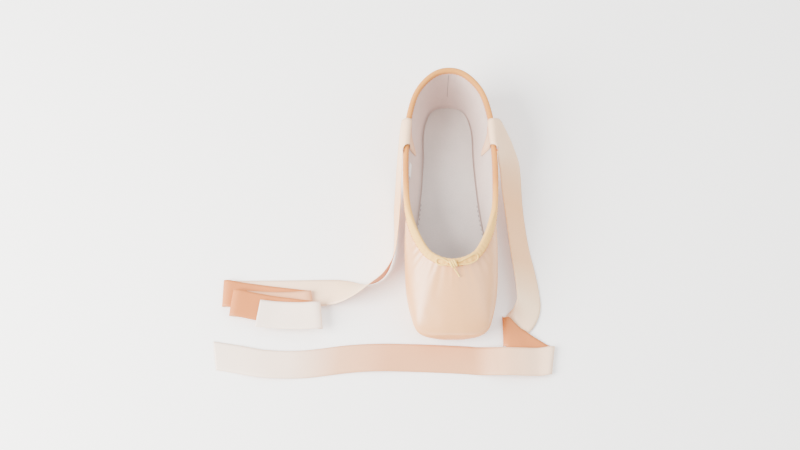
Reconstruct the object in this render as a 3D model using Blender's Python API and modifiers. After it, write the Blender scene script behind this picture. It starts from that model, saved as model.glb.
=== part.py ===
"""A satin pointe shoe standing on its sole, with its two ribbons laid on the floor. Blender 4.5, metres.

X is across the shoe, +Y towards the heel and +Z up. The origin is the middle of the flat spot
under the ball of the foot. The shoe is straight-lasted, so its left and right halves are alike.
"""

import math

import bmesh
import bpy
import numpy as np
from mathutils import Vector

# Driving dimensions of the last and the upper
LENGTH = 0.228  # toe platform to the back of the heel
BALL_FROM_TOE = 0.0775
BALL_WIDTH = 0.0755
PLATFORM_WIDTH = 0.0455
WAIST_WIDTH = 0.052  # at the feather edge, where the upper turns under
HEEL_WIDTH = 0.048  # at the feather edge
COLLAR_WIDTH = 0.077
VAMP_LENGTH = 0.0539  # toe platform to the throat, measured level
THROAT_HEIGHT = 0.0505
SIDE_HEIGHT = 0.043
HEEL_HEIGHT = 0.0533
UPPER_WALL = 0.0018
EDGE_ROUND = 0.0032  # the curve where the side wall turns under
MARGIN = 0.018  # the satin that is turned under
PLEAT_DEPTH = 0.0006
PLATFORM_EDGE = 0.002  # how softly the flat of the platform blends into the box

# The sole
TOE_SPRING = 0.0018
ARCH_LIFT = 0.0028
HEEL_SPRING = 0.0005
OUTSOLE_THICKNESS = 0.0022
OUTSOLE_BALL_WIDTH = 0.051
OUTSOLE_WAIST_WIDTH = 0.027
OUTSOLE_HEEL_WIDTH = 0.036
OUTSOLE_TOE_SETBACK = 0.015
OUTSOLE_HEEL_SETBACK = 0.0135
INSOLE_THICKNESS = 0.0016
INSOLE_INSET = 0.0032  # from the feather edge in to the edge of the sock board

# The casing and the gap between pieces that touch
CASING_DEPTH = 0.0052
CASING_THICKNESS = 0.0009
SEAT_GAP = 0.0003

# Ribbons, drawstring and label
RIBBON_WIDTH = 0.023
RIBBON_THICKNESS = 0.0006
RIBBON_POINT = 0.12
RIBBON_SLANT_LIMIT = 0.7
RIBBON_POINT_LENGTH = 0.033
CORD_THICKNESS = 0.0012
KNOT_WIDTH = 0.0062
KNOT_DEPTH = 0.0054
KNOT_HEIGHT = 0.0034
LABEL_LENGTH = 0.013
LABEL_WIDTH = 0.0055
LABEL_THICKNESS = 0.0005
LABEL_Y = 0.066
LABEL_SHARE = 0.62  # how far up the wall its middle is

# How finely the pieces are divided
COLUMNS = 96
TURN_WEIGHT = 0.018  # metres of outline that a turn of one radian counts for when columns are spaced
WALL_LEVELS = 10
SOLE_ACROSS = 6
SOLE_ALONG = 36
RIBBON_STEPS = 88
RIBBON_ACROSS = 2

# Ribs of the upper, from the middle of the toe round to the middle of the heel. Each runs from the
# foot, where the wall turns under, past a knee that it is drawn towards, to the rim.
# Along is a share of LENGTH, and for the rim of what is behind the throat. Across is a share of half
# the zone's width, and for the rim of half COLLAR_WIDTH. Knee up is a share of THROAT_HEIGHT.
# Rim throat and rim heel say how far the rim has risen from SIDE_HEIGHT to those heights.
RIB_COLUMNS = ("zone", "foot_along", "foot_across", "knee_along", "knee_across", "knee_up",
               "rim_along", "rim_across", "rim_throat", "rim_heel", "fullness")
RIBS = (
    ("platform", 0.010, 0.00, -0.022, 0.00, 0.55, 0.000, 0.00, 1.00, 0.00, 1.05),
    ("platform", 0.012, 0.46, -0.020, 0.58, 0.54, 0.003, 0.10, 0.97, 0.00, 1.05),
    ("platform", 0.030, 0.98, 0.002, 1.34, 0.52, 0.011, 0.24, 0.93, 0.00, 1.00),
    ("ball", 0.075, 0.75, 0.055, 0.99, 0.54, 0.027, 0.38, 0.85, 0.00, 0.90),
    ("ball", 0.160, 0.86, 0.150, 1.15, 0.60, 0.053, 0.51, 0.70, 0.00, 0.77),
    ("ball", 0.270, 0.90, 0.270, 1.18, 0.70, 0.107, 0.65, 0.50, 0.00, 0.70),
    ("ball", 0.380, 0.86, 0.380, 1.17, 0.68, 0.187, 0.80, 0.25, 0.00, 0.67),
    ("ball", 0.480, 0.77, 0.480, 1.07, 0.56, 0.293, 0.94, 0.06, 0.00, 0.67),
    ("waist", 0.600, 1.00, 0.600, 1.44, 0.44, 0.453, 0.99, 0.00, 0.00, 0.67),
    ("waist", 0.720, 0.94, 0.720, 1.34, 0.40, 0.600, 0.98, 0.00, 0.05, 0.67),
    ("heel", 0.830, 1.00, 0.840, 1.36, 0.42, 0.747, 0.92, 0.00, 0.32, 0.67),
    ("heel", 0.910, 0.80, 0.945, 1.14, 0.43, 0.880, 0.73, 0.00, 0.70, 0.67),
    ("heel", 0.948, 0.50, 0.994, 0.58, 0.43, 0.967, 0.38, 0.00, 0.94, 0.67),
    ("heel", 0.957, 0.00, 1.012, 0.00, 0.43, 0.993, 0.00, 0.00, 1.00, 0.67),
)

# Outline of the outsole from toe to heel: share of its length, and share of half the zone's width.
OUTSOLE_COLUMNS = ("zone", "along", "across")
OUTSOLE = (
    ("ball", 0.000, 0.00),
    ("ball", 0.006, 0.42),
    ("ball", 0.050, 0.80),
    ("ball", 0.150, 0.96),
    ("ball", 0.260, 1.00),
    ("ball", 0.380, 0.90),
    ("waist", 0.500, 1.25),
    ("waist", 0.610, 1.00),
    ("waist", 0.700, 1.00),
    ("heel", 0.810, 0.92),
    ("heel", 0.900, 1.00),
    ("heel", 0.965, 0.80),
    ("heel", 0.995, 0.38),
    ("heel", 1.000, 0.00),
)

# Where the sole touches the floor, as shares of LENGTH: the ball's flat spot and the heel's
BALL_FLAT = (0.16, 0.44)
HEEL_FLAT = (0.80, 0.94)

# Stations of the ribbons from the end sewn inside the quarter: the middle of the ribbon in millimetres,
# and the way that its width runs, as a turn about Z from +X and a lean out of the level, in degrees.
RIBBON_COLUMNS = ("x", "y", "z", "turn", "lean")
RIBBON_RIGHT = (
    (28.2, 86.6, 16.0, 93, 6),
    (30.7, 88.6, 24.0, 93, 5),
    (32.9, 90.6, 34.0, 94, 5),
    (32.9, 92.0, 41.0, 94, 6),
    (33.0, 92.4, 46.4, 94, 6),
    (36.3, 92.2, 48.2, 94, 6),
    (39.9, 90.8, 46.4, 90, 5),
    (43.0, 86.6, 43.2, 70, -10),
    (47.6, 78.6, 35.4, 42, -30),
    (51.4, 67.5, 24.0, 8, -40),
    (53.4, 50.0, 13.2, -4, -41),
    (55.8, 28.7, 8.6, -5, -41),
    (58.4, 4.0, 8.0, -5, -38),
    (61.4, -16.0, 7.4, -7, -33),
    (63.6, -33.0, 6.6, -12, -30),
    (63.8, -46.0, 5.6, -28, -25),
    (59.4, -56.0, 3.8, -50, -14),
    (52.0, -62.6, 1.3, -72, -3),
    (45.6, -66.4, 0.9, -90, 0),
    (42.2, -67.6, 2.6, -90, 0),
    (45.8, -69.4, 4.8, -90, 0),
    (53.0, -74.8, 4.3, -80, 0),
    (63.0, -82.4, 2.6, -76, 0),
    (74.0, -89.0, 0.9, -92, 0),
    (79.6, -91.2, 0.9, -99, 0),
    (82.0, -91.8, 2.4, -99, 0),
    (79.4, -92.2, 4.2, -98, 0),
    (70.0, -93.4, 3.6, -93, 0),
    (58.0, -93.8, 5.9, -91, 0),
    (46.0, -93.6, 6.8, -90, 0),
    (36.0, -93.1, 4.9, -89, 0),
    (22.0, -92.1, 1.0, -88, 0),
    (6.0, -90.9, 0.5, -88, 0),
    (-26.0, -89.6, 0.5, -89, 0),
    (-58.0, -89.2, 1.6, -91, 2),
    (-84.0, -90.4, 0.8, -94, 0),
    (-120.0, -94.6, 0.5, -93, 0),
    (-150.0, -94.4, 1.4, -86, 2),
    (-176.0, -90.0, 0.5, -81, 0),
    (-192.0, -87.4, 0.5, -81, 0),
)
RIBBON_LEFT = (
    (-28.2, 86.6, 16.0, 87, 6),
    (-30.7, 88.6, 24.0, 87, 5),
    (-32.9, 90.6, 34.0, 86, 5),
    (-32.9, 92.0, 41.0, 86, 6),
    (-33.0, 92.4, 46.4, 86, 6),
    (-36.3, 92.2, 48.2, 86, 6),
    (-39.4, 90.6, 45.6, 90, 2),
    (-40.6, 86.0, 40.6, 96, -20),
    (-42.0, 76.0, 29.5, 103, -46),
    (-43.4, 58.0, 17.0, 122, -68),
    (-44.2, 36.0, 13.0, 160, -76),
    (-44.8, 14.0, 12.6, 178, -82),
    (-47.4, -7.0, 12.5, 168, -84),
    (-55.4, -22.0, 12.3, 140, -84),
    (-68.0, -30.0, 11.6, 110, -72),
    (-83.0, -33.0, 8.2, 98, -38),
    (-100.0, -34.0, 2.4, 94, -8),
    (-120.0, -34.4, 0.8, 91, 0),
    (-150.0, -34.6, 0.5, 90, 0),
    (-184.0, -34.8, 0.9, 90, 0),
    (-188.2, -35.0, 2.5, 90, 0),
    (-184.0, -35.4, 4.4, 90, 0),
    (-170.0, -37.4, 2.4, 96, 0),
    (-150.0, -40.0, 1.9, 98, 0),
    (-130.0, -42.6, 2.2, 98, 0),
    (-118.0, -44.2, 2.6, 97, 0),
    (-114.0, -44.8, 4.4, 97, 0),
    (-118.0, -45.4, 6.2, 97, 0),
    (-132.0, -45.8, 4.5, 90, 0),
    (-150.0, -45.6, 3.6, 86, 0),
    (-166.0, -45.0, 4.4, 84, 0),
    (-176.0, -44.6, 5.2, 84, 0),
    (-180.2, -44.4, 7.0, 84, 0),
    (-176.0, -44.8, 8.8, 84, 0),
    (-162.0, -47.4, 6.9, 92, 0),
    (-144.0, -50.4, 5.7, 98, 0),
    (-126.0, -53.2, 7.1, 98, 0),
    (-110.0, -55.2, 7.8, 97, 0),
    (-105.8, -55.8, 9.6, 97, 0),
    (-110.0, -56.4, 11.4, 97, 0),
    (-124.0, -56.6, 9.6, 90, 0),
    (-142.0, -55.4, 7.8, 86, 0),
    (-158.0, -53.8, 8.4, 82, 0),
)

# Routes of the drawstring over the casing at the throat: columns of the upper counted from the middle,
# how far up the casing, where 0 is its lower edge, 1 the rim and less than 0 the vamp below it, and
# the height above the upper in millimetres
LOOP_RIGHT = ((1.95, 0.40, 2.2), (3.6, 0.18, 2.1), (6.0, 0.03, 2.1), (8.0, 0.00, 2.1), (9.4, 0.00, 2.1),
              (10.45, 0.15, 2.1), (10.9, 0.50, 2.1), (10.45, 0.85, 2.1), (9.4, 1.00, 2.1), (8.0, 1.00, 2.1),
              (6.0, 0.96, 2.1), (3.6, 0.80, 2.1), (1.95, 0.66, 2.2))
LOOP_LEFT = ((-1.95, 0.38, 2.2), (-3.1, 0.12, 2.1), (-4.4, 0.00, 2.1), (-5.6, 0.00, 2.1), (-6.65, 0.15, 2.1),
             (-7.1, 0.50, 2.1), (-6.65, 0.85, 2.1), (-5.6, 1.00, 2.1), (-4.4, 1.00, 2.1), (-3.1, 0.86, 2.1),
             (-1.95, 0.68, 2.2))
TAIL = ((0.2, -0.02, 2.6), (0.4, -0.30, 2.3), (0.9, -0.75, 1.3), (1.5, -1.20, 1.1), (1.9, -1.60, 1.0))

TOE_Y = -BALL_FROM_TOE
COLLECTION_NAME = "pointe_shoe"
SATIN = ("satin", (0.80, 0.58, 0.46, 1.0), 0.35)
LEATHER = ("sole_leather", (0.55, 0.40, 0.28, 1.0), 0.7)
LINING = ("insole_board", (0.60, 0.53, 0.49, 1.0), 0.8)
CASING = ("casing_cloth", (0.80, 0.60, 0.36, 1.0), 0.5)
CORD = ("drawstring_cotton", (0.82, 0.70, 0.56, 1.0), 0.7)
LABEL = ("label_cloth", (0.85, 0.85, 0.83, 1.0), 0.7)
RIBBON = ("ribbon_satin", (0.80, 0.60, 0.48, 1.0), 0.4)


def clear_scene():
    for item in list(bpy.data.objects):
        bpy.data.objects.remove(item, do_unlink=True)


def make_collection():
    made = bpy.data.collections.new(COLLECTION_NAME)
    bpy.context.scene.collection.children.link(made)
    return made


def make_material(finish):
    name, colour, roughness = finish
    found = bpy.data.materials.get(name)
    if found:
        return found
    made = bpy.data.materials.new(name)
    made.use_nodes = True
    shader = made.node_tree.nodes["Principled BSDF"]
    shader.inputs["Base Color"].default_value = colour
    shader.inputs["Roughness"].default_value = roughness
    shader.inputs["Metallic"].default_value = 0.0
    made.diffuse_color = colour
    return made


def add_object(name, data, finish, parts):
    data.materials.append(make_material(finish))
    made = bpy.data.objects.new(name, data)
    parts.objects.link(made)
    return made


def smooth_rows(rows, places):
    """Values of a table of rows at fractional row numbers, on a Catmull-Rom curve through the rows."""
    rows = np.asarray(rows, float)
    padded = np.vstack([2 * rows[0] - rows[1], rows, 2 * rows[-1] - rows[-2]])
    places = np.clip(np.asarray(places, float), 0, len(rows) - 1)
    start = np.minimum(places.astype(int), len(rows) - 2)
    t = (places - start)[:, None]
    a, b, c, d = (padded[start + k] for k in range(4))
    return 0.5 * (2 * b + (c - a) * t + (2 * a - 5 * b + 4 * c - d) * t**2
                  + (3 * b - a - 3 * c + d) * t**3)


def unit(vectors):
    return vectors / np.linalg.norm(vectors, axis=-1, keepdims=True)


def floor_lift(y):
    """How far the bottom of the sole is above the floor at y."""
    t = (np.asarray(y, float) - TOE_Y) / LENGTH
    toe = np.clip((BALL_FLAT[0] - t) / BALL_FLAT[0], 0, 1)
    arch = np.clip((t - BALL_FLAT[1]) / (HEEL_FLAT[0] - BALL_FLAT[1]), 0, 1)
    heel = np.clip((t - HEEL_FLAT[1]) / (1 - HEEL_FLAT[1]), 0, 1)
    return TOE_SPRING * toe**2 + ARCH_LIFT * np.sin(math.pi * arch)**2 + HEEL_SPRING * heel**2


def upper_underside(y):
    return floor_lift(y) + OUTSOLE_THICKNESS + SEAT_GAP


def pleat_depth(y):
    """How far the pleats of the turned-in margin rise at y: most at the toe, none behind the ball."""
    front = np.clip((TOE_Y + BALL_FLAT[1] * LENGTH - y) / (BALL_FLAT[1] * LENGTH), 0, 1)
    return PLEAT_DEPTH * front**0.5


def rib_points():
    """Foot, knee and rim of each rib in metres, with its fullness."""
    widths = {"platform": PLATFORM_WIDTH, "ball": BALL_WIDTH, "waist": WAIST_WIDTH, "heel": HEEL_WIDTH}
    made = []
    for values in RIBS:
        row = dict(zip(RIB_COLUMNS, values))
        half = widths[row["zone"]] / 2
        foot_y = TOE_Y + row["foot_along"] * LENGTH
        rim_z = (SIDE_HEIGHT + row["rim_throat"] * (THROAT_HEIGHT - SIDE_HEIGHT)
                 + row["rim_heel"] * (HEEL_HEIGHT - SIDE_HEIGHT))
        made.append((
            row["foot_across"] * half, foot_y, float(upper_underside(foot_y)),
            row["knee_across"] * half, TOE_Y + row["knee_along"] * LENGTH, row["knee_up"] * THROAT_HEIGHT,
            row["rim_across"] * COLLAR_WIDTH / 2,
            TOE_Y + VAMP_LENGTH + row["rim_along"] * (LENGTH - VAMP_LENGTH), rim_z,
            row["fullness"],
        ))
    return made


def mirrored(rows, across_columns):
    """Half a loop's rows carried past the middle at both ends, so that the curve crosses it squarely."""
    rows = [list(r) for r in rows]

    def flipped(row):
        turned = list(row)
        for k in across_columns:
            turned[k] = -turned[k]
        return turned

    return [flipped(rows[2]), flipped(rows[1])] + rows + [flipped(rows[-2]), flipped(rows[-3])]


def half_ribs(count):
    """count + 1 ribs from the middle of the toe round to the heel's, closer where the outline turns."""
    rows = mirrored(rib_points(), (0, 3, 6))
    first, last = 2, len(rows) - 3
    fine = np.linspace(first, last, 40 * (last - first) + 1)
    steps = np.diff(smooth_rows(rows, fine)[:, :2], axis=0)
    heading = np.unwrap(np.arctan2(steps[:, 1], steps[:, 0]))
    turning = np.abs(np.gradient(heading))
    run = np.concatenate([[0], np.cumsum(np.linalg.norm(steps, axis=1) + TURN_WEIGHT * turning)])
    ribs = smooth_rows(rows, np.interp(np.linspace(0, run[-1], count + 1), run, fine))
    ribs[[0, -1], 0] = 0
    ribs[[0, -1], 3] = 0
    ribs[[0, -1], 6] = 0
    ribs[:, 2] = upper_underside(ribs[:, 1])
    return ribs


def wall_point(ribs, s):
    """The outer surface at share s of each rib, on a cubic curve from foot to rim."""
    foot, knee, rim, full = ribs[:, 0:3], ribs[:, 3:6], ribs[:, 6:9], ribs[:, 9:10]
    low = foot + (knee - foot) * full
    high = rim + (knee - rim) * full
    s = np.asarray(s, float).reshape(-1, 1)
    place = (1 - s)**3 * foot + 3 * (1 - s)**2 * s * low + 3 * (1 - s) * s**2 * high + s**3 * rim
    ahead = np.clip(place[:, 1] - TOE_Y, -PLATFORM_EDGE, PLATFORM_EDGE)
    flattened = TOE_Y + (ahead + PLATFORM_EDGE)**2 / (4 * PLATFORM_EDGE)
    place[:, 1] = np.where(place[:, 1] < TOE_Y + PLATFORM_EDGE, flattened, place[:, 1])
    return place


def share_at(ribs, distance, from_rim=False):
    """The share of each rib that lies this far along it from its foot, or from its rim."""
    shares = np.linspace(0, 1, 121)
    line = np.stack([wall_point(ribs, np.full(len(ribs), s)) for s in shares])
    steps = np.linalg.norm(np.diff(line, axis=0), axis=2)
    run = np.concatenate([np.zeros((1, len(ribs))), np.cumsum(steps, axis=0)])
    goal = run[-1] - distance if from_rim else np.full(len(ribs), distance)
    return np.array([np.interp(goal[k], run[:, k], shares) for k in range(len(ribs))])


def inward(loop):
    """Level unit vectors from a closed loop in plan towards the shoe's middle line."""
    aim = np.zeros_like(loop)
    aim[:, 1] = np.clip(loop[:, 1], TOE_Y + PLATFORM_WIDTH / 2, TOE_Y + LENGTH - HEEL_WIDTH)
    towards = aim - loop
    towards[:, 2] = 0
    return unit(towards)


def whole_loop(half):
    """A closed loop from its half on the +X side, toe to heel, then back along the -X side."""
    back = half[-2:0:-1].copy()
    back[:, 0] *= -1
    return np.vstack([half, back])


def upper_loops():
    """Closed loops of the upper's outer surface, from the inner edge of the margin to the rim."""
    ribs = half_ribs(COLUMNS // 2)
    feet = whole_loop(ribs[:, 0:3])
    towards = inward(feet)
    pleat = pleat_depth(feet[:, 1]) * (np.arange(len(feet)) % 2)
    loops = []
    for share, pleated in ((1.0, 0.0), (0.62, 0.5), (0.0, 1.0)):
        inset = EDGE_ROUND + share * (MARGIN - EDGE_ROUND)
        loop = feet + towards * inset
        loop[:, 2] = upper_underside(loop[:, 1]) + pleat * pleated
        loops.append(loop)
    turn = share_at(ribs, EDGE_ROUND)
    risen = whole_loop(wall_point(ribs, turn))
    loops.append(0.25 * loops[-1] + 0.5 * feet + 0.25 * risen)
    casing = share_at(ribs, CASING_DEPTH, from_rim=True)
    for k in range(WALL_LEVELS):
        loops.append(whole_loop(wall_point(ribs, turn + (casing - turn) * k / (WALL_LEVELS - 1))))
    loops.append(whole_loop(wall_point(ribs, np.ones(len(ribs)))))
    return loops


def loft(loops, close_profile=False, downward=()):
    """A mesh between closed loops of equal length, open at both ends unless the profile closes.

    Each quad is split the same way on every surface, and mirrored on the -X side, so that pieces
    made from the same loops stay the same distance apart. Downward names the bands that run rim to foot.
    """
    shape = bmesh.new()
    rings = [[shape.verts.new(p) for p in loop] for loop in loops]
    pairs = list(zip(rings, rings[1:]))
    if close_profile:
        pairs.append((rings[-1], rings[0]))
    for band, (low, high) in enumerate(pairs):
        for k in range(len(low)):
            n = (k + 1) % len(low)
            if (k < len(low) // 2) != (band in downward):
                shape.faces.new((low[k], low[n], high[n]))
                shape.faces.new((low[k], high[n], high[k]))
            else:
                shape.faces.new((low[k], low[n], high[k]))
                shape.faces.new((low[n], high[n], high[k]))
    bmesh.ops.recalc_face_normals(shape, faces=shape.faces)
    mesh = bpy.data.meshes.new("loft")
    shape.to_mesh(mesh)
    shape.free()
    mesh.shade_smooth()
    return mesh


def outward_faces(mesh, inside):
    """Turns an open surface so that its faces point away from a point inside it."""
    total = sum((f.normal.dot(f.center - inside) * f.area) for f in mesh.polygons)
    if total < 0:
        mesh.flip_normals()


def solidify(item, thickness, outwards):
    wall = item.modifiers.new("wall", "SOLIDIFY")
    wall.thickness = thickness
    wall.offset = 1 if outwards else -1
    wall.use_rim = True


def make_upper(parts):
    mesh = loft(upper_loops())
    outward_faces(mesh, Vector((0, LENGTH / 4, THROAT_HEIGHT / 2)))
    item = add_object("upper", mesh, SATIN, parts)
    solidify(item, UPPER_WALL, outwards=False)
    mesh.set_sharp_from_angle(angle=math.radians(50))
    return item


def sole_slab(outline, bottom, thickness):
    """A slab from a half outline of (across, y), toe to heel, with its underside's height from y."""
    shape = bmesh.new()
    shares = np.linspace(-1, 1, SOLE_ACROSS + 1)
    rows = [[shape.verts.new((s * across, y, bottom(y))) for s in shares] for across, y in outline]
    for near, far in zip(rows, rows[1:]):
        for k in range(SOLE_ACROSS):
            shape.faces.new((near[k], near[k + 1], far[k + 1], far[k]))
    bmesh.ops.remove_doubles(shape, verts=shape.verts, dist=0.00001)
    raised = bmesh.ops.extrude_face_region(shape, geom=shape.faces[:], use_keep_orig=True)
    top = [v for v in raised["geom"] if isinstance(v, bmesh.types.BMVert)]
    bmesh.ops.translate(shape, verts=top, vec=(0, 0, thickness))
    bmesh.ops.recalc_face_normals(shape, faces=shape.faces)
    mesh = bpy.data.meshes.new("slab")
    shape.to_mesh(mesh)
    shape.free()
    mesh.shade_smooth()
    mesh.set_sharp_from_angle(angle=math.radians(40))
    return mesh


def make_outsole(parts):
    widths = {"ball": OUTSOLE_BALL_WIDTH, "waist": OUTSOLE_WAIST_WIDTH, "heel": OUTSOLE_HEEL_WIDTH}
    start = TOE_Y + OUTSOLE_TOE_SETBACK
    long = LENGTH - OUTSOLE_TOE_SETBACK - OUTSOLE_HEEL_SETBACK
    rows = []
    for values in OUTSOLE:
        row = dict(zip(OUTSOLE_COLUMNS, values))
        rows.append((row["across"] * widths[row["zone"]] / 2, start + row["along"] * long))
    rows = mirrored(rows, (0,))
    outline = smooth_rows(rows, np.linspace(2, len(rows) - 3, SOLE_ALONG + 1))
    outline[[0, -1], 0] = 0
    mesh = sole_slab(outline, lambda y: float(floor_lift(y)), OUTSOLE_THICKNESS)
    return add_object("outsole", mesh, LEATHER, parts)


def insole_bottom(y):
    return float(upper_underside(y) + pleat_depth(y)) + UPPER_WALL + SEAT_GAP


def make_insole(parts):
    ribs = half_ribs(SOLE_ALONG)
    feet = whole_loop(ribs[:, 0:3])
    inner = feet + inward(feet) * INSOLE_INSET
    outline = inner[:SOLE_ALONG + 1, :2].copy()
    outline[[0, -1], 0] = 0
    mesh = sole_slab(outline, insole_bottom, INSOLE_THICKNESS)
    return add_object("insole", mesh, LINING, parts)


def surface_normals(loops):
    """Outward unit normals at the points of a grid of closed loops that run from margin to rim."""
    ahead = np.roll(loops, -1, axis=1)
    quads = np.cross(ahead[:-1] - loops[1:], ahead[1:] - loops[:-1])
    quads = unit(quads)
    quads = quads + np.roll(quads, 1, axis=1)
    total = np.zeros_like(loops)
    total[:-1] += quads
    total[1:] += quads
    return unit(total)


def make_casing(parts):
    loops = np.array(upper_loops())
    normals = surface_normals(loops)
    low, rim = loops[-2], loops[-1]
    low_out, rim_out = normals[-2], normals[-1]
    up = unit(rim - low)
    near = SEAT_GAP
    far = near + CASING_THICKNESS
    inner = UPPER_WALL + SEAT_GAP
    inner_far = inner + CASING_THICKNESS
    profile = [
        low + low_out * near,
        low + low_out * far,
        rim + rim_out * far,
        rim + rim_out * (far - UPPER_WALL / 2) + up * far,
        rim - rim_out * (inner_far - UPPER_WALL / 2) + up * far,
        rim - rim_out * inner_far,
        low - low_out * inner_far,
        low - low_out * inner,
        rim - rim_out * inner + up * near,
        rim + rim_out * near + up * near,
    ]
    mesh = loft(profile, close_profile=True, downward=(4, 5, 9))
    item = add_object("collar_casing", mesh, CASING, parts)
    mesh.set_sharp_from_angle(angle=math.radians(40))
    return item


def ribbon_rows(stations):
    """The two edges and the middle of a ribbon at even steps along it, in metres."""
    stations = np.array(stations, float)
    run = np.concatenate([[0], np.cumsum(np.linalg.norm(np.diff(stations[:, :3], axis=0), axis=1))])
    places = np.interp(np.linspace(0, run[-1], RIBBON_STEPS + 1), run, np.arange(len(stations)))
    rows = smooth_rows(stations, places)
    middle = rows[:, :3] / 1000
    turn, lean = np.radians(rows[:, 3]), np.radians(rows[:, 4])
    across = np.stack([np.cos(lean) * np.cos(turn), np.cos(lean) * np.sin(turn), np.sin(lean)], axis=1)
    ahead = unit(np.gradient(middle, axis=0))
    slant = np.linalg.norm(np.cross(across, ahead), axis=1)[:, None]
    reach = across * RIBBON_WIDTH / 2 / np.maximum(slant, RIBBON_SLANT_LIMIT)
    # the end that is sewn inside the quarter is folded under to a point
    share = np.clip(np.linspace(0, run[-1] / 1000, RIBBON_STEPS + 1) / RIBBON_POINT_LENGTH, 0, 1)[:, None]
    return middle, reach * (RIBBON_POINT + (1 - RIBBON_POINT) * share)


def make_ribbon(name, stations, parts):
    middle, reach = ribbon_rows(stations)
    shape = bmesh.new()
    shares = np.linspace(-1, 1, RIBBON_ACROSS + 1)
    rows = [[shape.verts.new(m + s * r) for s in shares] for m, r in zip(middle, reach)]
    for near, far in zip(rows, rows[1:]):
        for k in range(RIBBON_ACROSS):
            shape.faces.new((near[k], near[k + 1], far[k + 1], far[k]))
    mesh = bpy.data.meshes.new(name)
    shape.to_mesh(mesh)
    shape.free()
    mesh.shade_smooth()
    item = add_object(name, mesh, RIBBON, parts)
    wall = item.modifiers.new("cloth", "SOLIDIFY")
    wall.thickness = RIBBON_THICKNESS
    wall.offset = 0
    return item


def throat_places(route):
    """Points over the throat from columns, rises and heights in millimetres above the upper."""
    loops = np.array(upper_loops())
    normals = surface_normals(loops)
    columns = np.arange(-20, 21)
    low, rim, out = ([np.interp([r[0] for r in route], columns, rows[columns, k]) for k in range(3)]
                     for rows in (loops[-2], loops[-1], normals[-2] + normals[-1]))
    low, rim, out = (np.stack(v, axis=1) for v in (low, rim, out))
    rise = np.array([[r[1]] for r in route])
    height = np.array([[r[2]] for r in route]) / 1000
    return low + (rim - low) * rise + unit(out) * height


def make_cord(name, route, parts):
    places = throat_places(route)
    length = float(np.sum(np.linalg.norm(np.diff(places, axis=0), axis=1)))
    count = round(length / (2 * CORD_THICKNESS))
    fine = smooth_rows(places, np.linspace(0, len(places) - 1, count + 1))
    curve = bpy.data.curves.new(name, "CURVE")
    curve.dimensions = "3D"
    curve.bevel_depth = CORD_THICKNESS / 2
    curve.bevel_resolution = 2
    curve.use_fill_caps = True
    spline = curve.splines.new("POLY")
    spline.points.add(len(fine) - 1)
    for point, place in zip(spline.points, fine):
        point.co = (*place, 1)
    return add_object(name, curve, CORD, parts)


def make_knot(parts):
    shape = bmesh.new()
    bmesh.ops.create_uvsphere(shape, u_segments=16, v_segments=10, radius=0.5)
    bmesh.ops.scale(shape, vec=(KNOT_WIDTH, KNOT_DEPTH, KNOT_HEIGHT), verts=shape.verts)
    mesh = bpy.data.meshes.new("drawstring_knot")
    shape.to_mesh(mesh)
    shape.free()
    mesh.shade_smooth()
    item = add_object("drawstring_knot", mesh, CORD, parts)
    base, top = throat_places(((0, 0.5, 0), (0, 0.5, 1)))
    out = unit(top - base)
    item.location = base + out * (2 * SEAT_GAP + CASING_THICKNESS + KNOT_HEIGHT / 2)
    item.rotation_euler = (math.atan2(-out[1], out[2]), 0, 0)
    return item


def make_label(parts):
    """A small flat label, as a thin closed form that follows the lining of the quarter on the -X side."""
    ribs = half_ribs(COLUMNS // 2)
    shape = bmesh.new()
    for up in np.linspace(-0.5, 0.5, 3):
        wall = wall_point(ribs, np.full(len(ribs), LABEL_SHARE + up * LABEL_WIDTH / SIDE_HEIGHT))
        for along in np.linspace(-0.5, 0.5, 3):
            y = LABEL_Y + along * LABEL_LENGTH
            x = np.interp(y, wall[:, 1], wall[:, 0])
            z = np.interp(y, wall[:, 1], wall[:, 2])
            for depth in (UPPER_WALL + SEAT_GAP, UPPER_WALL + SEAT_GAP + LABEL_THICKNESS):
                shape.verts.new((depth - x, y, z))
    bmesh.ops.convex_hull(shape, input=shape.verts)
    mesh = bpy.data.meshes.new("size_label")
    shape.to_mesh(mesh)
    shape.free()
    return add_object("size_label", mesh, LABEL, parts)


def main():
    clear_scene()
    parts = make_collection()
    make_outsole(parts)
    make_upper(parts)
    make_insole(parts)
    make_casing(parts)
    make_ribbon("ribbon_left", RIBBON_LEFT, parts)
    make_ribbon("ribbon_right", RIBBON_RIGHT, parts)
    make_knot(parts)
    make_cord("drawstring_loop_left", LOOP_LEFT, parts)
    make_cord("drawstring_loop_right", LOOP_RIGHT, parts)
    make_cord("drawstring_tail", TAIL, parts)
    make_label(parts)


main()
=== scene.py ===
# A satin pointe shoe on a pale floor, its two ribbons laid out. Blender 4.5, metres.
import bpy
import math
import numpy as np
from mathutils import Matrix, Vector
from mathutils.bvhtree import BVHTree


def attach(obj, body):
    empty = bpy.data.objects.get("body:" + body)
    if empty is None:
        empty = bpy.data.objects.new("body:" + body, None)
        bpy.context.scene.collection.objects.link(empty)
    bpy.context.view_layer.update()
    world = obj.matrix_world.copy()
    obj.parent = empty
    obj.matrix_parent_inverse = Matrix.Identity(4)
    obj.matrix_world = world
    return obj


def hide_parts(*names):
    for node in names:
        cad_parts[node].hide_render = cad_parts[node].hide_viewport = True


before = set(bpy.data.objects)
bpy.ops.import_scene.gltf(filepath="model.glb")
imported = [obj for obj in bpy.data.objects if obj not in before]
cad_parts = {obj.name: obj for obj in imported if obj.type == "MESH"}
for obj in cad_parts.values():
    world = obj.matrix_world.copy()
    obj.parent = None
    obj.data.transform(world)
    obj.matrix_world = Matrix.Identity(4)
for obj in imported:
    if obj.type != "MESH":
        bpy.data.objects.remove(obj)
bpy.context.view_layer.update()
print("frame loaded")

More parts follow.
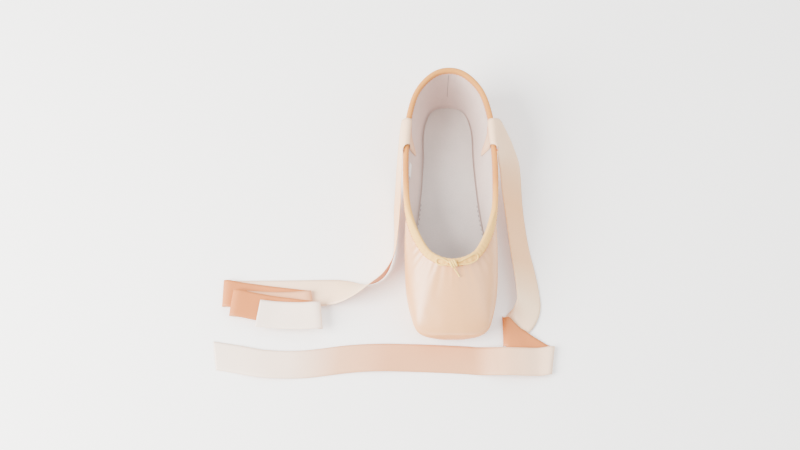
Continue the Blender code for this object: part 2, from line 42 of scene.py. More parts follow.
# The camera looks down past the toe, as in the photograph
view = {"target": (-0.0418, 0.0274, 0.0), "distance": 0.864, "elevation": 67.5, "lens": 45.5,
        "nearest": 0.02}
elevation = math.radians(view["elevation"])
cameraData = bpy.data.cameras.new("camera")
cameraData.lens = view["lens"]
cameraData.clip_start = view["nearest"]
camera = bpy.data.objects.new("camera", cameraData)
bpy.context.scene.collection.objects.link(camera)
camera.location = (view["target"][0], view["target"][1] - view["distance"] * math.cos(elevation),
                   view["distance"] * math.sin(elevation))
camera.rotation_euler = (math.pi / 2 - elevation, 0, 0)
bpy.context.scene.camera = camera

# The last, in the same sizes as the model. Ribs run from the sole's edge past a knee to the rim, and
# from the middle of the toe round to the middle of the heel.
last = {
    "length": 0.228, "toeY": -0.0775, "ballWidth": 0.0755, "platformWidth": 0.0455, "waistWidth": 0.052,
    "heelWidth": 0.048, "collarWidth": 0.077, "vampLength": 0.0539, "throatHeight": 0.0505,
    "sideHeight": 0.043, "heelHeight": 0.0533, "wall": 0.0018, "edgeRound": 0.0032, "margin": 0.018,
    "pleatDepth": 0.0006, "platformEdge": 0.002, "casingDepth": 0.0052, "casingThickness": 0.0009,
    "gap": 0.0003, "ballFlat": (0.16, 0.44), "heelFlat": (0.80, 0.94), "toeSpring": 0.0018,
    "archLift": 0.0028, "heelSpring": 0.0005, "soleThickness": 0.0022, "turnWeight": 0.018,
    "pleatColumns": 4,
}
# zone, foot along and across, knee along, across and up, rim along and across, rise to throat and heel,
# and how full the curve is
ribTable = (
    ("platform", 0.010, 0.00, -0.022, 0.00, 0.55, 0.000, 0.00, 1.00, 0.00, 1.05),
    ("platform", 0.012, 0.46, -0.020, 0.58, 0.54, 0.003, 0.10, 0.97, 0.00, 1.05),
    ("platform", 0.030, 0.98, 0.002, 1.34, 0.52, 0.011, 0.24, 0.93, 0.00, 1.00),
    ("ball", 0.075, 0.75, 0.055, 0.99, 0.54, 0.027, 0.38, 0.85, 0.00, 0.90),
    ("ball", 0.160, 0.86, 0.150, 1.15, 0.60, 0.053, 0.51, 0.70, 0.00, 0.77),
    ("ball", 0.270, 0.90, 0.270, 1.18, 0.70, 0.107, 0.65, 0.50, 0.00, 0.70),
    ("ball", 0.380, 0.86, 0.380, 1.17, 0.68, 0.187, 0.80, 0.25, 0.00, 0.67),
    ("ball", 0.480, 0.77, 0.480, 1.07, 0.56, 0.293, 0.94, 0.06, 0.00, 0.67),
    ("waist", 0.600, 1.00, 0.600, 1.44, 0.44, 0.453, 0.99, 0.00, 0.00, 0.67),
    ("waist", 0.720, 0.94, 0.720, 1.34, 0.40, 0.600, 0.98, 0.00, 0.05, 0.67),
    ("heel", 0.830, 1.00, 0.840, 1.36, 0.42, 0.747, 0.92, 0.00, 0.32, 0.67),
    ("heel", 0.910, 0.80, 0.945, 1.14, 0.43, 0.880, 0.73, 0.00, 0.70, 0.67),
    ("heel", 0.948, 0.50, 0.994, 0.58, 0.43, 0.967, 0.38, 0.00, 0.94, 0.67),
    ("heel", 0.957, 0.00, 1.012, 0.00, 0.43, 0.993, 0.00, 0.00, 1.00, 0.67),
)


def smoothRows(rows, places):  # a Catmull-Rom curve through rows
    rows = np.asarray(rows, float)
    padded = np.vstack([2 * rows[0] - rows[1], rows, 2 * rows[-1] - rows[-2]])
    places = np.clip(np.asarray(places, float), 0, len(rows) - 1)
    start = np.minimum(places.astype(int), len(rows) - 2)
    t = (places - start)[:, None]
    a, b, c, d = (padded[start + k] for k in range(4))
    return 0.5 * (2 * b + (c - a) * t + (2 * a - 5 * b + 4 * c - d) * t**2
                  + (3 * b - a - 3 * c + d) * t**3)


def unit(vectors):
    return vectors / np.linalg.norm(vectors, axis=-1, keepdims=True)


def girthOf(line):  # the way gone at each place of a line
    return np.concatenate([[0], np.cumsum(np.linalg.norm(np.diff(line, axis=0), axis=1))])


def closed(loop):
    return np.vstack([loop, loop[:1]])


def between(at, run, rows):  # the point at a place along the run
    return np.array([np.interp(at, run, rows[:, i]) for i in range(3)])


def floorLift(y):
    t = (np.asarray(y, float) - last["toeY"]) / last["length"]
    toe = np.clip((last["ballFlat"][0] - t) / last["ballFlat"][0], 0, 1)
    arch = np.clip((t - last["ballFlat"][1]) / (last["heelFlat"][0] - last["ballFlat"][1]), 0, 1)
    heel = np.clip((t - last["heelFlat"][1]) / (1 - last["heelFlat"][1]), 0, 1)
    return (last["toeSpring"] * toe**2 + last["archLift"] * np.sin(math.pi * arch)**2
            + last["heelSpring"] * heel**2)


def underside(y):
    return floorLift(y) + last["soleThickness"] + last["gap"]


def pleatDepth(y):
    reach = last["ballFlat"][1] * last["length"]
    return last["pleatDepth"] * np.clip((last["toeY"] + reach - y) / reach, 0, 1)**0.5


def ribPoints():
    made = []
    for row in ribTable:
        zone, footAlong, footAcross, kneeAlong, kneeAcross, kneeUp = row[:6]
        rimAlong, rimAcross, toThroat, toHeel, full = row[6:]
        half = last[zone + "Width"] / 2
        footY = last["toeY"] + footAlong * last["length"]
        rimZ = (last["sideHeight"] + toThroat * (last["throatHeight"] - last["sideHeight"])
                + toHeel * (last["heelHeight"] - last["sideHeight"]))
        made.append([footAcross * half, footY, float(underside(footY)),
                     kneeAcross * half, last["toeY"] + kneeAlong * last["length"],
                     kneeUp * last["throatHeight"],
                     rimAcross * last["collarWidth"] / 2,
                     last["toeY"] + last["vampLength"] + rimAlong * (last["length"] - last["vampLength"]),
                     rimZ, full])
    return made


def halfRibs(count):
    rows = ribPoints()
    flip = np.array([-1, 1, 1, -1, 1, 1, -1, 1, 1, 1])
    rows = np.array([rows[2] * flip, rows[1] * flip] + rows + [rows[-2] * flip, rows[-3] * flip])
    first, final = 2, len(rows) - 3
    fine = np.linspace(first, final, 40 * (final - first) + 1)
    steps = np.diff(smoothRows(rows, fine)[:, :2], axis=0)
    turning = np.abs(np.gradient(np.unwrap(np.arctan2(steps[:, 1], steps[:, 0]))))
    run = np.concatenate([[0], np.cumsum(np.linalg.norm(steps, axis=1) + last["turnWeight"] * turning)])
    ribs = smoothRows(rows, np.interp(np.linspace(0, run[-1], count + 1), run, fine))
    ribs[0, [0, 3, 6]] = 0
    ribs[-1, [0, 3, 6]] = 0
    ribs[:, 2] = underside(ribs[:, 1])
    return ribs


def wallPoint(ribs, s):
    foot, knee, rim, full = ribs[:, 0:3], ribs[:, 3:6], ribs[:, 6:9], ribs[:, 9:10]
    low = foot + (knee - foot) * full
    high = rim + (knee - rim) * full
    s = np.asarray(s, float).reshape(-1, 1)
    place = (1 - s)**3 * foot + 3 * (1 - s)**2 * s * low + 3 * (1 - s) * s**2 * high + s**3 * rim
    edge = last["platformEdge"]
    ahead = np.clip(place[:, 1] - last["toeY"], -edge, edge)
    blended = last["toeY"] + (ahead + edge)**2 / (4 * edge)
    place[:, 1] = np.where(place[:, 1] < last["toeY"] + edge, blended, place[:, 1])
    return place


def shareAt(ribs, distance, fromRim=False):
    shares = np.linspace(0, 1, 121)
    line = np.stack([wallPoint(ribs, np.full(len(ribs), s)) for s in shares])
    gone = np.cumsum(np.linalg.norm(np.diff(line, axis=0), axis=2), axis=0)
    run = np.concatenate([np.zeros((1, len(ribs))), gone])
    goal = run[-1] - distance if fromRim else np.full(len(ribs), distance)
    return np.array([np.interp(goal[k], run[:, k], shares) for k in range(len(ribs))])


def wholeLoop(half):
    back = half[-2:0:-1].copy()
    back[:, 0] *= -1
    return np.vstack([half, back])


def inwards(feet):  # level directions from the sole's edge to the shoe's middle line
    aim = np.zeros_like(feet)
    aim[:, 1] = np.clip(feet[:, 1], last["toeY"] + last["platformWidth"] / 2,
                        last["toeY"] + last["length"] - last["heelWidth"])
    towards = aim - feet
    towards[:, 2] = 0
    return unit(towards)


def pleatWave(count):
    return 0.5 - 0.5 * np.cos(np.arange(count) * 2 * math.pi / last["pleatColumns"])


def upperLoops(count, wallLevels, marginShares, roundShares, casingLevels):
    # closed loops from the inner edge of the turned-in margin to the rim, and each one's rise up the
    # wall, which is 0.9 where the casing starts
    ribs = halfRibs(count // 2)
    feet = wholeLoop(ribs[:, 0:3])
    towards = inwards(feet)
    pleat = pleatDepth(feet[:, 1]) * pleatWave(count)
    loops, rises = [], []
    for share in marginShares:
        loop = feet + towards * (last["edgeRound"] + share * (last["margin"] - last["edgeRound"]))
        loop[:, 2] = underside(loop[:, 1]) + pleat * (1 - share)**0.5
        loops.append(loop)
        rises.append(-share)
    turn = shareAt(ribs, last["edgeRound"])
    risen = wholeLoop(wallPoint(ribs, turn))
    inner = loops[-1].copy()
    for t in roundShares:
        loops.append((1 - t)**2 * inner + 2 * t * (1 - t) * feet + t**2 * risen)
        rises.append(0.0)
    casing = shareAt(ribs, last["casingDepth"], fromRim=True)
    for k in range(wallLevels):
        share = turn + (casing - turn) * k / (wallLevels - 1)
        loops.append(wholeLoop(wallPoint(ribs, share)))
        rises.append(0.9 * k / (wallLevels - 1))
    for k in range(1, casingLevels + 1):
        share = casing + (1 - casing) * k / casingLevels
        loops.append(wholeLoop(wallPoint(ribs, share)))
        rises.append(0.9 + 0.1 * k / casingLevels)
    return np.array(loops), np.array(rises)


def outwardNormals(loops):
    around = np.roll(loops, -1, axis=1) - np.roll(loops, 1, axis=1)
    up = np.gradient(loops, axis=0)
    return unit(np.cross(around, up))


# Colours are written as they look on a screen and handed on as linear ones
def linearFromHex(code):
    parts = [int(code[k:k + 2], 16) / 255 for k in (1, 3, 5)]
    return tuple(p / 12.92 if p <= 0.04045 else ((p + 0.055) / 1.055)**2.4 for p in parts) + (1.0,)


def setInputs(tree, node, inputs):
    for key, value in inputs.items():
        if isinstance(value, bpy.types.NodeSocket):
            tree.links.new(value, node.inputs[key])
        else:
            node.inputs[key].default_value = value


def addNode(tree, kind, inputs, **settings):
    node = tree.nodes.new(kind)
    for key, value in settings.items():
        setattr(node, key, value)
    setInputs(tree, node, inputs)
    return node


def addNoise(tree, where, scale, detail, roughness=0.5):
    inputs = {"Vector": where, "Scale": scale, "Detail": detail, "Roughness": roughness}
    return addNode(tree, "ShaderNodeTexNoise", inputs).outputs["Fac"]


def addRange(tree, value, fromRange, toRange=(0.0, 1.0)):
    inputs = {"Value": value, "From Min": fromRange[0], "From Max": fromRange[1],
              "To Min": toRange[0], "To Max": toRange[1]}
    return addNode(tree, "ShaderNodeMapRange", inputs).outputs["Result"]


def addMath(tree, operation, first, second):
    return addNode(tree, "ShaderNodeMath", {0: first, 1: second}, operation=operation).outputs["Value"]


def addBump(tree, height, strength, distance, over=None):
    inputs = {"Height": height, "Strength": strength, "Distance": distance}
    if over is not None:
        inputs["Normal"] = over
    return addNode(tree, "ShaderNodeBump", inputs).outputs["Normal"]


def addMix(tree, share, first, second):
    inputs = {"Factor": share, "A": linearFromHex(first), "B": linearFromHex(second)}
    return addNode(tree, "ShaderNodeMix", inputs, data_type="RGBA").outputs["Result"]


def addTint(tree, value, stops, brightness):
    # a colour from the stops' ramp, made lighter and darker by the brightness
    colours = addNode(tree, "ShaderNodeValToRGB", {"Fac": value})
    ramp = colours.color_ramp
    while len(ramp.elements) < len(stops):
        ramp.elements.new(0.5)
    for element, (place, code) in zip(ramp.elements, stops):
        element.position = place
        element.color = linearFromHex(code)
    inputs = {"Color": colours.outputs["Color"], "Value": brightness}
    return addNode(tree, "ShaderNodeHueSaturation", inputs).outputs["Color"]


def startMaterial(name):
    material = bpy.data.materials.new(name)
    material.use_nodes = True
    tree = material.node_tree
    tree.nodes.clear()
    shader = addNode(tree, "ShaderNodeBsdfPrincipled", {})
    addNode(tree, "ShaderNodeOutputMaterial", {"Surface": shader.outputs["BSDF"]})
    return material, tree, shader


# Polyester satin: long floats of filament yarn, so it has a soft broad gloss and hardly any weave.
# Its stops run up from the floor in metres, or along a ribbon from its sewn end. A scale of 1000 draws
# the threads 0.31 mm apart. Real ones are about 0.1 mm apart and would vanish in the picture.
satinLook = {
    "slubStretch": (260.0, 2600.0, 1.0), "mottleScale": 38.0, "brightness": (0.955, 1.045),
    "smoother": 0.05, "rougher": 0.07, "threadScale": 1000.0, "threadBump": (0.12, 0.0001),
    "slubBump": (0.18, 0.0002), "sheen": 0.05, "sheenRoughness": 0.35, "sheenTint": "#FFE9D6",
}


def makeSatin(name, stops, source, roughness, specular):
    material, tree, shader = startMaterial(name)
    where = addNode(tree, "ShaderNodeUVMap", {}, uv_map="cloth").outputs["UV"]
    place = addNode(tree, "ShaderNodeTexCoord", {}).outputs["Object"]
    split = addNode(tree, "ShaderNodeSeparateXYZ", {"Vector": where if source == "run" else place})
    first, final = stops[0][0], stops[-1][0]
    along = addRange(tree, split.outputs["Y" if source == "run" else "Z"], (first, final))
    shares = [((at - first) / (final - first), code) for at, code in stops]
    stretch = addNode(tree, "ShaderNodeMapping", {"Vector": where, "Scale": satinLook["slubStretch"]})
    slub = addNoise(tree, stretch.outputs[0], 1.0, 3.0)
    mottle = addNoise(tree, place, satinLook["mottleScale"], 2.0)
    brightness = addRange(tree, addMath(tree, "ADD", slub, mottle), (0.5, 1.5), satinLook["brightness"])
    threads = {"Vector": where, "Scale": satinLook["threadScale"], "Distortion": 0.6, "Detail": 1.0}
    weave = addNode(tree, "ShaderNodeTexWave", threads, bands_direction="Y").outputs["Fac"]
    fine = addBump(tree, weave, *satinLook["threadBump"])
    roughRange = (roughness - satinLook["smoother"], roughness + satinLook["rougher"])
    setInputs(tree, shader, {
        "Base Color": addTint(tree, along, shares, brightness),
        "Roughness": addRange(tree, slub, (0.0, 1.0), roughRange),
        "Normal": addBump(tree, slub, *satinLook["slubBump"], fine),
        "IOR": 1.5, "Specular IOR Level": specular, "Sheen Weight": satinLook["sheen"],
        "Sheen Roughness": satinLook["sheenRoughness"], "Sheen Tint": linearFromHex(satinLook["sheenTint"]),
    })
    return material


# Woven cotton cloth: matt, with crossing threads and a little fluff that catches the light. Its stops
# run over a span of y in metres. The coarseness draws threads 0.63 of that many millimetres apart.
cottonLook = {
    "grainScale": 900.0, "cloudScale": 55.0, "brightness": (0.90, 1.07), "bumpDistance": 0.0003,
    "fluff": 0.8, "threadScale": 500.0, "threadBend": 1.2, "sheen": 0.15, "sheenRoughness": 0.5,
}


def makeCotton(name, stops, span, coarseness, roughness, bump):
    material, tree, shader = startMaterial(name)
    place = addNode(tree, "ShaderNodeTexCoord", {}).outputs["Object"]
    split = addNode(tree, "ShaderNodeSeparateXYZ", {"Vector": place})
    grain = addNoise(tree, place, cottonLook["grainScale"], 4.0, 0.65)
    cloud = addNoise(tree, place, cottonLook["cloudScale"], 3.0)
    brightness = addRange(tree, addMath(tree, "ADD", grain, cloud), (0.6, 1.4), cottonLook["brightness"])
    threads = {"Vector": place, "Scale": cottonLook["threadScale"] / coarseness,
               "Distortion": cottonLook["threadBend"]}
    warp = addNode(tree, "ShaderNodeTexWave", threads, bands_direction="X").outputs["Fac"]
    weft = addNode(tree, "ShaderNodeTexWave", threads, bands_direction="Y").outputs["Fac"]
    woven = addBump(tree, addMath(tree, "MULTIPLY", warp, weft), bump, cottonLook["bumpDistance"])
    setInputs(tree, shader, {
        "Base Color": addTint(tree, addRange(tree, split.outputs["Y"], span), stops, brightness),
        "Normal": addBump(tree, grain, bump * cottonLook["fluff"], cottonLook["bumpDistance"], woven),
        "Roughness": roughness, "Sheen Weight": cottonLook["sheen"],
        "Sheen Roughness": cottonLook["sheenRoughness"],
    })
    return material


# Suede split leather: brushed nap, and an uneven tan in soft patches
suedeLook = {"napScale": 1400.0, "patchScale": 60.0, "napBump": (0.35, 0.0004), "roughness": 0.85,
             "sheen": 0.2}


def makeSuede(name, base, scuff):
    material, tree, shader = startMaterial(name)
    place = addNode(tree, "ShaderNodeTexCoord", {}).outputs["Object"]
    nap = addNoise(tree, place, suedeLook["napScale"], 5.0, 0.7)
    patch = addNoise(tree, place, suedeLook["patchScale"], 4.0)
    setInputs(tree, shader, {
        "Base Color": addMix(tree, patch, base, scuff), "Normal": addBump(tree, nap, *suedeLook["napBump"]),
        "Roughness": suedeLook["roughness"], "Sheen Weight": suedeLook["sheen"],
    })
    return material


# The upper's satin is painted darker and more orange towards the sole's edge: painted shade on the low walls
satinShadeStops = ((0.0, "#E0904F"), (0.012, "#E49E5E"), (0.026, "#E4A468"), (0.052, "#E3A56A"))
# A ribbon's colour has painted light and shade along it: lighter stretches where it lies lit, darker ones
# where it lies in shade
ribbonLightAndShadeStops = (
    (0.0, "#EDBE94"), (0.030, "#F2CBA4"), (0.060, "#F7CCA0"), (0.105, "#F6B97C"), (0.155, "#F7BE86"),
    (0.190, "#FFDBB0"), (0.212, "#F6D2AE"), (0.270, "#F5D4B6"), (0.300, "#F1C6A0"), (0.340, "#DCA074"),
    (0.410, "#DA9C70"), (0.450, "#E2AE86"), (0.490, "#F7DCC6"), (0.576, "#FAE6D6"),
)
satin = makeSatin("polyesterSatin", satinShadeStops, "height", 0.34, 1.0)
satinFront = makeSatin("ribbonSatinFace", ribbonLightAndShadeStops, "run", 0.36, 0.6)
# The ribbon's back: the duller reverse of the satin, painted darker still as painted shade
satinBack = makeSatin("ribbonSatinBack", ((0.0, "#CA7C40"), (0.576, "#C47438")), "run", 0.50, 0.4)
# The lining is painted lighter towards the heel: painted light on the heel's inner wall
lining = makeCotton("cottonDrillLining", ((0.0, "#CEBDB6"), (0.6, "#CEB9B0"), (1.0, "#D6BEB6")),
                    (-0.07, 0.15), 0.6, 0.88, 0.25)
board = makeCotton("sockBoardCloth", ((0.0, "#C0B8B5"), (1.0, "#C3B9B4")), (-0.07, 0.14), 0.7, 0.9, 0.2)
boardEdgeShade = makeCotton("sockBoardEdgeShade", ((0.0, "#8C7073"), (1.0, "#8C6C68")), (-0.07, 0.14), 0.7, 0.9, 0.2)
# The tape is painted darker and more orange from the throat towards the heel: painted shade
tapeShadeStops = ((0.0, "#F0BC5C"), (0.25, "#ECB85C"), (0.35, "#E4A048"), (0.45, "#D08434"), (1.0, "#CC8834"))
tape = makeCotton("biasCottonTape", tapeShadeStops, (-0.03, 0.15), 0.6, 0.8, 0.3)
cordCotton = makeCotton("drawstringCotton", ((0.0, "#F6CE6C"), (1.0, "#F2C45E")), (-0.04, -0.01),
                        0.5, 0.8, 0.4)
# Thread, dark orange so that its stitches also draw painted shade along folds and edges
thread = makeCotton("cottonThreadEdgeShade", ((0.0, "#DB8038"), (1.0, "#D97A30")), (-0.08, 0.15), 0.4, 0.7, 0.2)
greyThread = makeCotton("greyThread", ((0.0, "#6E6064"), (1.0, "#6E6064")), (-0.08, 0.15), 0.4, 0.7, 0.2)
labelTape = makeCotton("wovenLabelTape", ((0.0, "#F4F4F2"), (1.0, "#F1F1EE")), (0.05, 0.08), 0.5, 0.8, 0.3)
suede = makeSuede("suedeSplit", "#C9A47C", "#B58E66")
print("materials made")


def newPiece(name, points, faces, materials, faceMaterials=None, uv=None):
    mesh = bpy.data.meshes.new(name)
    mesh.from_pydata([tuple(p) for p in points], [], faces)
    for material in materials:
        mesh.materials.append(material)
    if faceMaterials is not None:
        mesh.polygons.foreach_set("material_index", faceMaterials)
    if uv is not None:
        layer = mesh.uv_layers.new(name="cloth")
        layer.data.foreach_set("uv", np.asarray(uv, float).reshape(-1))
    mesh.shade_smooth()
    piece = bpy.data.objects.new(name, mesh)
    bpy.context.scene.collection.objects.link(piece)
    return piece


def selectOnly(piece):
    bpy.ops.object.select_all(action="DESELECT")
    piece.select_set(True)
    bpy.context.view_layer.objects.active = piece


def applyModifiers(piece):
    selectOnly(piece)
    for modifier in list(piece.modifiers):
        bpy.ops.object.modifier_apply(modifier=modifier.name)


def closedLoft(name, outer, inner, outerMaterial, innerMaterial):
    # a shell from two grids of closed loops of the same size, joined along both edges
    levels, count = outer.shape[:2]
    points = np.vstack([outer.reshape(-1, 3), inner.reshape(-1, 3)])
    along = girthOf(closed(outer[levels // 2]))
    rise = np.concatenate([[0], np.cumsum(np.linalg.norm(np.diff(outer, axis=0), axis=2).mean(axis=1))])
    faces, kinds, uv = [], [], []
    shift = levels * count
    for j in range(levels - 1):
        for k in range(count):
            n = (k + 1) % count
            a, b, c, d = j * count + k, j * count + n, (j + 1) * count + n, (j + 1) * count + k
            square = ((along[k], rise[j]), (along[k + 1], rise[j]),
                      (along[k + 1], rise[j + 1]), (along[k], rise[j + 1]))
            faces.append((a, b, c, d))
            kinds.append(0)
            uv.extend(square)
            faces.append((shift + d, shift + c, shift + b, shift + a))
            kinds.append(1)
            uv.extend(square[::-1])
    for k in range(count):
        n = (k + 1) % count
        top = (levels - 1) * count
        faces.append((top + k, top + n, shift + top + n, shift + top + k))
        kinds.append(0)
        uv.extend(((along[k], 0), (along[k + 1], 0), (along[k + 1], 0.002), (along[k], 0.002)))
        faces.append((n, k, shift + k, shift + n))
        kinds.append(0)
        uv.extend(((along[k], 0), (along[k + 1], 0), (along[k + 1], 0.002), (along[k], 0.002)))
    return newPiece(name, points, faces, [outerMaterial, innerMaterial], kinds, uv)


# The upper. Creases are soft troughs, or ridges where the depth is below nought. Those on the sides are
# given by how far along the shoe and how far up the wall they start and end, those on the vamp in plan.
upperLook = {
    "columns": 384, "wallLevels": 44, "marginShares": (1.0, 0.7, 0.45, 0.22, 0.0),
    "roundShares": (0.2, 0.4, 0.6, 0.8), "casingLevels": 6,
    # side, start along, start up, end along, end up, half width, depth, all in shares of the last or mm
    "sideCreases": (
        (1, 0.47, 0.92, 0.43, 0.42, 4.0, 0.45), (1, 0.54, 0.90, 0.50, 0.50, 3.0, 0.35),
        (1, 0.60, 0.80, 0.67, 0.30, 4.5, 0.40), (1, 0.72, 0.85, 0.76, 0.45, 3.5, -0.30),
        (1, 0.86, 0.88, 0.88, 0.40, 3.2, 0.35), (1, 0.38, 0.55, 0.52, 0.18, 4.0, 0.35),
        (-1, 0.46, 0.92, 0.42, 0.46, 4.0, 0.40), (-1, 0.53, 0.88, 0.50, 0.45, 3.2, 0.35),
        (-1, 0.63, 0.84, 0.70, 0.32, 4.5, 0.40), (-1, 0.75, 0.80, 0.79, 0.42, 3.5, -0.30),
        (-1, 0.87, 0.85, 0.90, 0.38, 3.2, 0.35), (-1, 0.37, 0.52, 0.50, 0.20, 4.0, 0.30),
    ),
    # x and y of the start and the end, half width and depth in mm
    "vampCreases": (
        (12.0, -31.0, 19.0, -52.0, 3.2, 0.22), (-9.0, -33.0, -14.0, -50.0, 3.0, 0.20),
        (21.0, -21.0, 30.0, -40.0, 3.6, 0.28), (-21.0, -22.0, -29.0, -42.0, 3.6, 0.26),
        (3.0, -36.0, 4.0, -60.0, 5.0, -0.16), (-20.0, -58.0, -12.0, -70.0, 4.0, 0.18),
    ),
    "gatherDepth": 0.00027, "gatherWave": 0.0052, "gatherReach": 0.012,
    "gatherDrift": 1.3, "gatherDriftWave": 170, "wallTall": 46.0,
    "toePuckerDepth": 0.00035, "toePuckerReach": 0.008, "toePuckerAlong": 0.03,
}


def creaseDepth(p, q, a, b, halfWidth, depth):
    # how deep a trough from a to b is at the points p, q in millimetres, fading out at its ends
    run = np.array([b[0] - a[0], b[1] - a[1]], float)
    size = np.hypot(*run)
    t = ((p - a[0]) * run[0] + (q - a[1]) * run[1]) / size**2
    near = np.clip(t, 0, 1)
    away = np.hypot(p - a[0] - near * run[0], q - a[1] - near * run[1])
    fade = np.clip(np.minimum(t + 0.25, 1.25 - t) / 0.5, 0, 1)
    fade = fade * fade * (3 - 2 * fade)
    return depth * np.exp(-(away / halfWidth)**2) * fade


outerLoops, rises = upperLoops(upperLook["columns"], upperLook["wallLevels"], upperLook["marginShares"],
                               upperLook["roundShares"], upperLook["casingLevels"])
normals = outwardNormals(outerLoops)
lengthMm, wallTall = last["length"] * 1000, upperLook["wallTall"]
along = (outerLoops[:, :, 1] - last["toeY"]) * 1000
across = outerLoops[:, :, 0] * 1000
height = rises[:, None] * np.ones_like(along)
sink = np.zeros_like(along)
for side, startAlong, startUp, endAlong, endUp, halfWidth, depth in upperLook["sideCreases"]:
    trough = creaseDepth(along, height * wallTall, (startAlong * lengthMm, startUp * wallTall),
                         (endAlong * lengthMm, endUp * wallTall), halfWidth, depth)
    sink += trough * np.clip((side * across - 18) / 10, 0, 1)
for startX, startY, endX, endY, halfWidth, depth in upperLook["vampCreases"]:
    trough = creaseDepth(across, outerLoops[:, :, 1] * 1000, (startX, startY), (endX, endY), halfWidth, depth)
    sink += trough * np.clip((outerLoops[:, :, 2] * 1000 - 22) / 8, 0, 1)
sink /= 1000
sink *= np.clip(height / 0.12, 0, 1) * np.clip((0.93 - height) / 0.06, 0, 1)
# gathers below the casing, drawn up by the string, and puckers where the pleats turn under the toe
casingFoot = -1 - upperLook["casingLevels"]
rimRun = girthOf(outerLoops[casingFoot])
belowRim = np.linalg.norm(outerLoops - outerLoops[casingFoot][None], axis=2)
drift = upperLook["gatherDrift"] * np.sin(rimRun * upperLook["gatherDriftWave"])
gathers = 0.5 + 0.5 * np.sin(rimRun * 2 * math.pi / upperLook["gatherWave"] + drift)
gathered = upperLook["gatherDepth"] * gathers[None] * np.exp(-(belowRim / upperLook["gatherReach"])**2)
sink[:casingFoot + 1] += gathered[:casingFoot + 1]
toeAlong = upperLook["toePuckerAlong"]
frontOnly = np.clip((toeAlong - (outerLoops[0, :, 1] - last["toeY"])) / toeAlong + 0.8, 0, 1)
fromFloor = np.clip(1 - (outerLoops[:, :, 2] - 0.003) / upperLook["toePuckerReach"], 0, 1)
puckers = pleatWave(upperLook["columns"]) * frontOnly
sink += upperLook["toePuckerDepth"] * puckers[None] * fromFloor * (height > 0)
outerLoops = outerLoops - normals * sink[:, :, None]
innerLoops = outerLoops - normals * last["wall"]
upper = closedLoft("satinUpper", outerLoops, innerLoops, satin, lining)
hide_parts("upper")
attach(upper, "root")
upperTree = BVHTree.FromPolygons([tuple(v.co) for v in upper.data.vertices],
                                 [tuple(p.vertices) for p in upper.data.polygons])
print("upper made")

# The casing: a folded cotton tape over the rim, drawn into small gathers by the string inside it
casingLook = {
    "levels": 5, "insideFrom": 0.4, "gatherDepth": 0.00048, "gatherWave": 0.0042, "gatherDrift": 1.1,
    "gatherDriftWave": 210, "plump": 0.00025, "rimAngles": (25, 50, 75, 90, 105, 130, 155),
    "rimGather": 0.4, "insideSwell": 0.6,
}
baseLoops = upperLoops(upperLook["columns"], 10, (1.0, 0.0), (0.5,), casingLook["levels"])[0]
baseNormals = outwardNormals(baseLoops)
lowIndex = len(baseLoops) - 1 - casingLook["levels"]
bandLoops, bandNormals = baseLoops[lowIndex:], baseNormals[lowIndex:]
rimRun = girthOf(bandLoops[-1])
drift = casingLook["gatherDrift"] * np.sin(rimRun * casingLook["gatherDriftWave"])
ripple = 0.5 + 0.5 * np.sin(rimRun * 2 * math.pi / casingLook["gatherWave"] + drift)
throatShare = np.clip((0.03 - bandLoops[-1][:, 1]) / 0.05, 0.35, 1)  # the gathers are deepest at the throat
lift = casingLook["gatherDepth"] * ripple * throatShare
nearSide = last["gap"]
farSide = nearSide + last["casingThickness"]
insideNear = last["wall"] + last["gap"]
insideFar = insideNear + last["casingThickness"]
rimUp = unit(bandLoops[-1] - bandLoops[0])


def bandAt(share):  # the loop, and its outward directions, at a share of the way up the tape
    at = share * casingLook["levels"]
    k = min(int(at), casingLook["levels"] - 1)
    t = at - k
    return (bandLoops[k] * (1 - t) + bandLoops[k + 1] * t,
            unit(bandNormals[k] * (1 - t) + bandNormals[k + 1] * t))


def swellAt(share):  # the plumpness and the gathers at a share of the way up the tape
    return casingLook["plump"] * math.sin(math.pi * share) + lift * math.sin(math.pi * (0.1 + 0.8 * share))


profile = []
for k in range(casingLook["levels"] + 1):
    swell = swellAt(k / casingLook["levels"])
    profile.append(bandLoops[k] + bandNormals[k] * (farSide + swell)[:, None])
middle = bandLoops[-1] - bandNormals[-1] * last["wall"] / 2
reach = farSide + last["wall"] / 2
for angle in casingLook["rimAngles"]:
    turn = math.radians(angle)
    above = (farSide + lift * casingLook["rimGather"]) * math.sin(turn)
    profile.append(middle + bandNormals[-1] * reach * math.cos(turn) + rimUp * above[:, None])
# inside, the tape is narrower than it is outside
for k in range(casingLook["levels"], -1, -1):
    share = k / casingLook["levels"]
    place, facing = bandAt(casingLook["insideFrom"] + (1 - casingLook["insideFrom"]) * share)
    profile.append(place - facing * (insideFar + swellAt(share) * casingLook["insideSwell"])[:, None])
insideEdge, insideFacing = bandAt(casingLook["insideFrom"])
profile.append(insideEdge - insideFacing * insideNear)
profile.append(bandLoops[-1] - bandNormals[-1] * insideNear + rimUp * nearSide)
profile.append(bandLoops[-1] + bandNormals[-1] * nearSide + rimUp * nearSide)
profile.append(bandLoops[0] + bandNormals[0] * nearSide)
profile = np.array(profile)


def ringLoft(name, profile, material):
    # a closed ring from loops that go once round its own section
    levels, count = profile.shape[:2]
    points = profile.reshape(-1, 3)
    faces = []
    for j in range(levels):
        up = (j + 1) % levels
        for k in range(count):
            n = (k + 1) % count
            faces.append((j * count + k, j * count + n, up * count + n, up * count + k))
    return newPiece(name, points, faces, [material])


casing = ringLoft("collarTape", profile, tape)
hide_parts("collar_casing")
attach(casing, "root")
print("casing made")


# How far apart the stitches of each kind are, how long and how thick
stitchLook = {
    "tape": (0.0028, 0.0020, 0.00044), "board": (0.0042, 0.0022, 0.0005), "ribbon": (0.0024, 0.0016, 0.00036),
    "seam": (0.0016, 0.00155, 0.00055), "lining": (0.0022, 0.0018, 0.00045),
}


